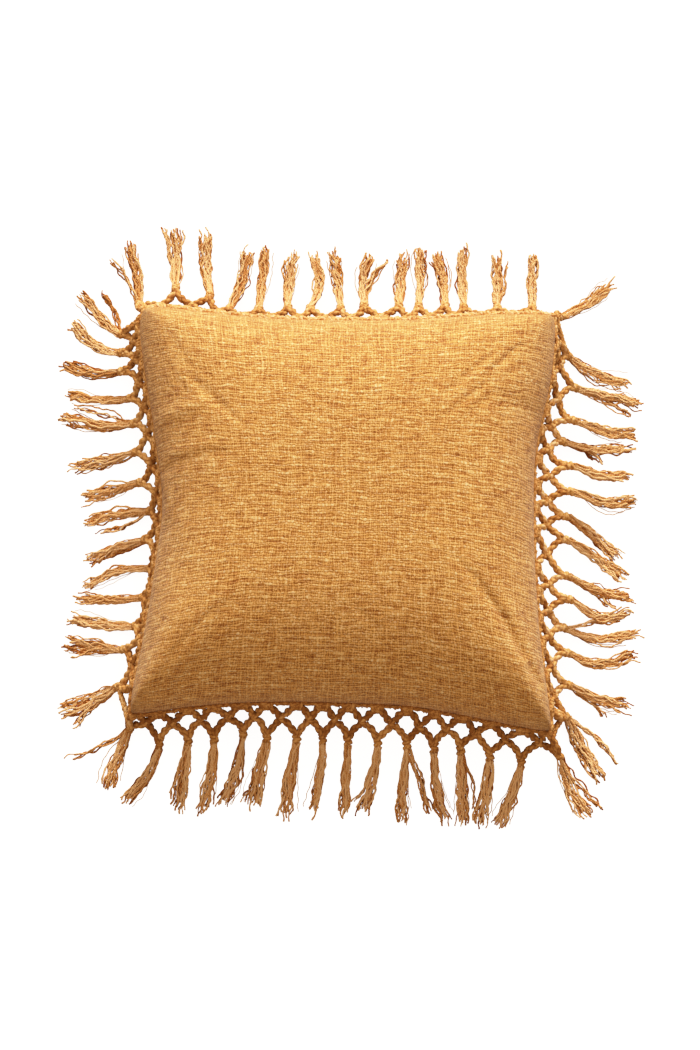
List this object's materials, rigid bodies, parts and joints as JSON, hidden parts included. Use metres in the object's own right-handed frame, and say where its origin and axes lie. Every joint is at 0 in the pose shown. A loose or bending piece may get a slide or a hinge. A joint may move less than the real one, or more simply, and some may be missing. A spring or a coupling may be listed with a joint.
{
  "type": "square throw cushion with a knotted net trim and tassels",
  "caption": "Square filled throw cushion of slub-woven cotton, lying on its back, with an open knotted net trim and yarn tassels hung from the seam on all sides.",
  "frame": {"origin": "middle of the flat spot on the cushion's back, on the surface that it lies on", "axes": "+Z out of the face, +X towards its right side and +Y towards its far side as the face is seen"},
  "size_m": [0.6147, 0.6425, 0.136],
  "materials": {
    "slub_cloth": "mustard slub-woven cotton, matt",
    "cotton_yarn": "mustard plied cotton yarn, matt"
  },
  "bodies": {
    "root": {"cushion": "slub_cloth", "trim_far": "cotton_yarn", "trim_near": "cotton_yarn", "trim_left": "cotton_yarn", "trim_right": "cotton_yarn"}
  },
  "joints": []
}
